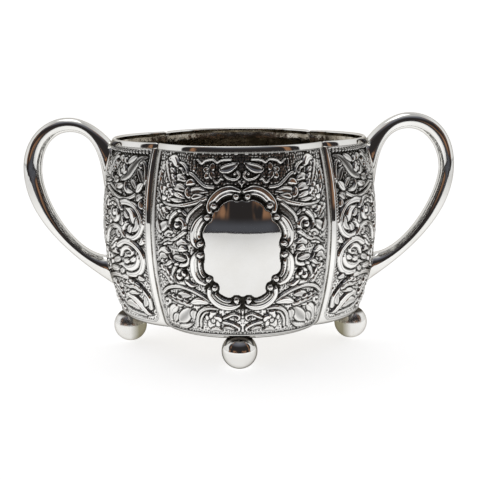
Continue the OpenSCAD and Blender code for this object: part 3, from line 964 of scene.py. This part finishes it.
def polished_silver(name, clear, dull, edge_tint):
    """Silver, nearly a mirror where rubbed, with soft hazy patches, fine wear and small dents."""
    material, s = new_material(name)
    at = s.place()
    rubbed, hazy = (0.90, 0.895, 0.875), (0.80, 0.79, 0.755)
    s.set({
        "Base Color": s.ramp(s.noise(at, 90, 4), [(0.3, rubbed), (0.75, hazy)]),
        "Metallic": 1.0,
        "Specular Tint": edge_tint,
        "Roughness": s.remap(s.noise(at, 700, 6, 0.65), 0.35, 0.75, clear, dull),
        "Normal": s.bump(s.noise(at, 140, 2), 0.08, 0.0006),
    })
    return material


def darken(s, where, tint):
    """Multiplies the colour that a material has so far by a tint, where a mask is 1."""
    clean = s.shader.inputs["Base Color"].links[0].from_socket
    s.set({"Base Color": s.mix("MULTIPLY", where, clean, tint)})


def painted_shade_inner_side(material):
    """Painted reflection of the shaded floor under the bowl, yellow-grey, low on the side of a ball that
    faces the bowl's axis.
    """
    s = Shading(material)
    x, y, z = s.split(s.place())
    inner = s.remap(s.level_length(x, y), 0.0412, 0.0380)
    low = s.remap(z, 0.0100, 0.0065)
    shaded_floor_tint = (0.36, 0.34, 0.25)
    darken(s, s.times(inner, low), shaded_floor_tint)


def painted_shade_at_joint(material):
    """Painted shade round the top of a ball, under the bowl where it is soldered on."""
    s = Shading(material)
    z = s.split(s.place())[2]
    painted_shade = (0.10, 0.09, 0.08)
    darken(s, s.remap(z, 0.0096, 0.0104), painted_shade)


def chased_silver():
    """Bright silver on the raised work and black sulphide in the punched ground and the chased lines, with
    the painted shade that the panels' layer holds.
    """
    material, s = new_material("chased_silver")
    at = s.place()
    # The panels' layer holds oxide, painted shade and painted reflection
    layer = s.nodes.new("ShaderNodeAttribute")
    layer.attribute_name = "oxide_and_shade"
    oxide_and_shade = layer.outputs["Fac"]
    rubbed, hazy = (0.96, 0.955, 0.935), (0.92, 0.91, 0.88)
    black, grey = (0.008, 0.007, 0.006), (0.05, 0.046, 0.038)
    bright = s.ramp(s.noise(at, 160, 4), [(0.3, rubbed), (0.75, hazy)])
    crust = s.ramp(s.noise(at, 1300, 4), [(0.35, black), (0.8, grey)])
    s.set({
        "Base Color": s.mix("MIX", oxide_and_shade, bright, crust),
        "Metallic": 1.0,
        "Specular Tint": CHASED_EDGE_TINT,
        "Roughness": s.remap(oxide_and_shade, 0.2, 1.0, 0.035, 0.48),
        "Normal": s.bump(s.noise(at, 70, 2), 0.10, 0.0006),
    })
    return material


def bowl_interior():
    """Inside of the bowl: old gilding and tarnish, with the soft marks of the chasing from behind."""
    material, s = new_material("bowl_interior")
    at = s.place()
    blotch = s.noise(at, 120, 5, 0.6)
    tarnish, gilding, silver = (0.15, 0.13, 0.10), (0.36, 0.32, 0.255), (0.72, 0.68, 0.61)
    s.set({
        "Base Color": s.ramp(blotch, [(0.3, tarnish), (0.5, gilding), (0.72, silver)]),
        "Metallic": 1.0,
        "Roughness": s.remap(blotch, 0.3, 0.7, 0.34, 0.18),
        "Normal": s.bump(s.noise(at, 260, 3, 0.55), 0.9, 0.0011),
    })
    return material


def table_white():
    """White paper that glows with painted light, less towards its front edge and its sides."""
    material, s = new_material("white_table")
    x, y, _ = s.split(s.place())
    ahead = s.remap(y, -0.34, -0.14, 0.44, 0.74)
    # The lit part widens towards the back
    from_middle = s.minus(s.calc("ABSOLUTE", x), s.calc("MAXIMUM", s.times(y, 0.6), 0.0))
    aside = s.remap(from_middle, 0.12, 0.28, 0.74, 0.46)
    s.set({
        "Base Color": (0.55, 0.55, 0.55),
        "Roughness": 0.9,
        "Emission Color": (1, 1, 1),
        "Emission Strength": s.calc("MINIMUM", ahead, aside),
    })
    return material


# ---- studio
def camera():
    """Camera a little above the rim, almost in front of the bowl."""
    distance, height = 0.4072, 0.1065
    round_bowl, down, roll = (math.radians(a) for a in (-0.85, 9.63, -0.52))
    data = bpy.data.cameras.new("camera")
    data.sensor_width = 36.0
    data.lens = 83.5
    data.clip_start = 0.01
    data.clip_end = 20.0
    camera_object = add_object("camera", data)
    tilt = Matrix.Rotation(math.pi / 2 - down, 4, "X") @ Matrix.Rotation(roll, 4, "Z")
    turn = Matrix.Rotation(round_bowl, 4, "Z")
    camera_object.matrix_world = turn @ Matrix.Translation((0, -distance, height)) @ tilt
    bpy.context.scene.camera = camera_object


def table():
    """White table: its round front edge lies just behind the camera, and further out at the sides."""
    half_width, back, steps = 1.6, 2.4, 64
    near, far = 0.43, 0.50
    arc = np.linspace(-math.pi / 2, math.pi / 2, steps + 1)
    share = fade(np.degrees(np.abs(arc)), 44, 58)
    reach = near + (far - near) * share ** 2 * (3 - 2 * share)
    front = [(x, y, 0) for x, y in zip(reach * np.sin(arc), -reach * np.cos(arc))]
    sides = [(half_width, 0, 0), (half_width, back, 0), (-half_width, back, 0), (-half_width, 0, 0)]
    corners = front + sides
    mesh = bpy.data.meshes.new("table")
    mesh.from_pydata(corners, [], [tuple(range(len(corners)))])
    mesh.materials.append(table_white())
    add_object("table", mesh)


def dark_room(s, side, z, direction):
    """Colour of the room that the bowl reflects, with its haze, its furniture and its floor."""
    gloom, haze = (0.027, 0.024, 0.024), (0.17, 0.175, 0.205)
    wood, blue_floor = (0.30, 0.16, 0.09), (0.080, 0.083, 0.096)
    room = s.mix("MIX", s.band(z, 0.55, 0.90), gloom, haze)
    # A warm patch on each side of the middle, and one further out
    near = s.times(s.within(side, 0.20, 0.32, 0.62, 0.74), s.outside(z, 0.10, 0.30))
    far = s.within(side, 0.87, 0.90, 0.93, 0.955)
    broken = s.band(s.noise(direction, 4.0, 2.0), 0.36, 0.50)
    warm = s.times(s.calc("MAXIMUM", near, far), broken, s.band(z, -0.04, 0.02))
    room = s.mix("MIX", warm, room, wood)
    # The floor shows above the table's edge
    floor = s.times(s.within(z, -0.13, -0.10, -0.08, 0.0), s.outside(side, 0.5, 0.8))
    return s.mix("MIX", floor, room, blue_floor)


def studio_world():
    """White tent all round, open towards the dark room in front."""
    world = bpy.data.worlds.new("studio")
    bpy.context.scene.world = world
    s = Shading(world)
    s.nodes.clear()
    direction = s.nodes.new("ShaderNodeTexCoord").outputs["Generated"]
    x, y, z = s.split(direction)
    level = s.calc("MAXIMUM", s.level_length(x, y), 0.001)
    ahead = s.calc("DIVIDE", s.times(y, -1.0), level)
    side = s.calc("ABSOLUTE", s.calc("DIVIDE", x, level))
    # The opening is widest halfway up
    jamb = s.minus(0.50, s.times(s.band(z, -0.14, -0.08), 0.24), s.times(s.band(z, 0.15, 0.45), 0.16))
    jamb = s.calc("ADD", jamb, s.times(s.band(z, 0.62, 0.88), 0.26))
    opening = s.times(s.band(s.minus(ahead, jamb), -0.03, 0.03), s.within(z, -0.19, -0.17, 0.86, 0.97))
    # The tent is duller overhead and brightest behind the bowl, with a thin dark joint at the table
    roof = s.times(s.band(z, 0.60, 0.95), 0.36)
    behind = s.times(s.band(y, 0.80, 0.93), 0.40)
    joint = s.times(s.within(z, -0.07, -0.055, -0.02, 0.0), s.outside(y, 0.5, 0.7))
    cloth = s.times(s.calc("ADD", s.minus(0.86, roof), behind), s.minus(1.0, s.times(joint, 0.4)))
    grey = s.add("ShaderNodeCombineXYZ", {"X": cloth, "Y": cloth, "Z": cloth}).outputs[0]
    sky = s.mix("MIX", opening, grey, dark_room(s, side, z, direction))
    background = s.add("ShaderNodeBackground", {"Color": sky}).outputs[0]
    s.add("ShaderNodeOutputWorld", {"Surface": background})


def soft_box(name, place, target, size, watts):
    """Square area light that faces a target."""
    data = bpy.data.lights.new(name, "AREA")
    data.size = size
    data.energy = watts
    facing = (Vector(place) - Vector(target)).to_track_quat("Z", "Y").to_matrix().to_4x4()
    add_object(name, data).matrix_world = Matrix.Translation(place) @ facing


def studio():
    """Everything round the bowl."""
    camera()
    table()
    studio_world()
    soft_box("softbox_top", (-0.1, 0.2, 0.9), (0, 0, 0.04), 0.5, 1.0)
    settings = bpy.context.scene.view_settings
    settings.view_transform = "Standard"
    settings.look = "None"


# ---- assembly
def build():
    """The whole bowl: four of each piece, and two handles."""
    silver = polished_silver("polished_silver", clear=0.03, dull=0.10, edge_tint=EDGE_TINT)
    bright_ball = polished_silver("bright_ball", clear=0.03, dull=0.10, edge_tint=BALL_EDGE_TINT)
    dull_ball = polished_silver("dull_ball", clear=0.16, dull=0.30, edge_tint=EDGE_TINT)
    # Painted shade on the side balls, low on their inner side, and on every ball round its top
    painted_shade_inner_side(dull_ball)
    painted_shade_at_joint(bright_ball)
    painted_shade_at_joint(dull_ball)
    chased = chased_silver()
    inside = bowl_interior()
    # Opposite panels are alike
    # The side fields get painted shade at their top, and the front fields a border that darkens upwards
    front = finish_field(front_panel(), margin=3.0, low_edge=12.2, painted_shade=0.0, margin_darkening=0.38, beading=0.0)
    side = finish_field(side_panel(), margin=2.4, low_edge=13.0, painted_shade=0.3, margin_darkening=0.0, beading=1.0)
    for lobe in LOBES:
        height, oxide_and_shade = front if lobe in ("front", "back") else side
        panel(lobe, height, oxide_and_shade, [chased, inside])
        rim_wire(lobe, silver)
        foot(lobe, bright_ball if lobe == "front" else dull_ball)
    for hand in ("left", "right"):
        handle(hand, silver)
    # The floor stays the CAD piece
    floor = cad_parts["base_plate"]
    floor.data.materials.clear()
    floor.data.materials.append(inside)


studio()
build()
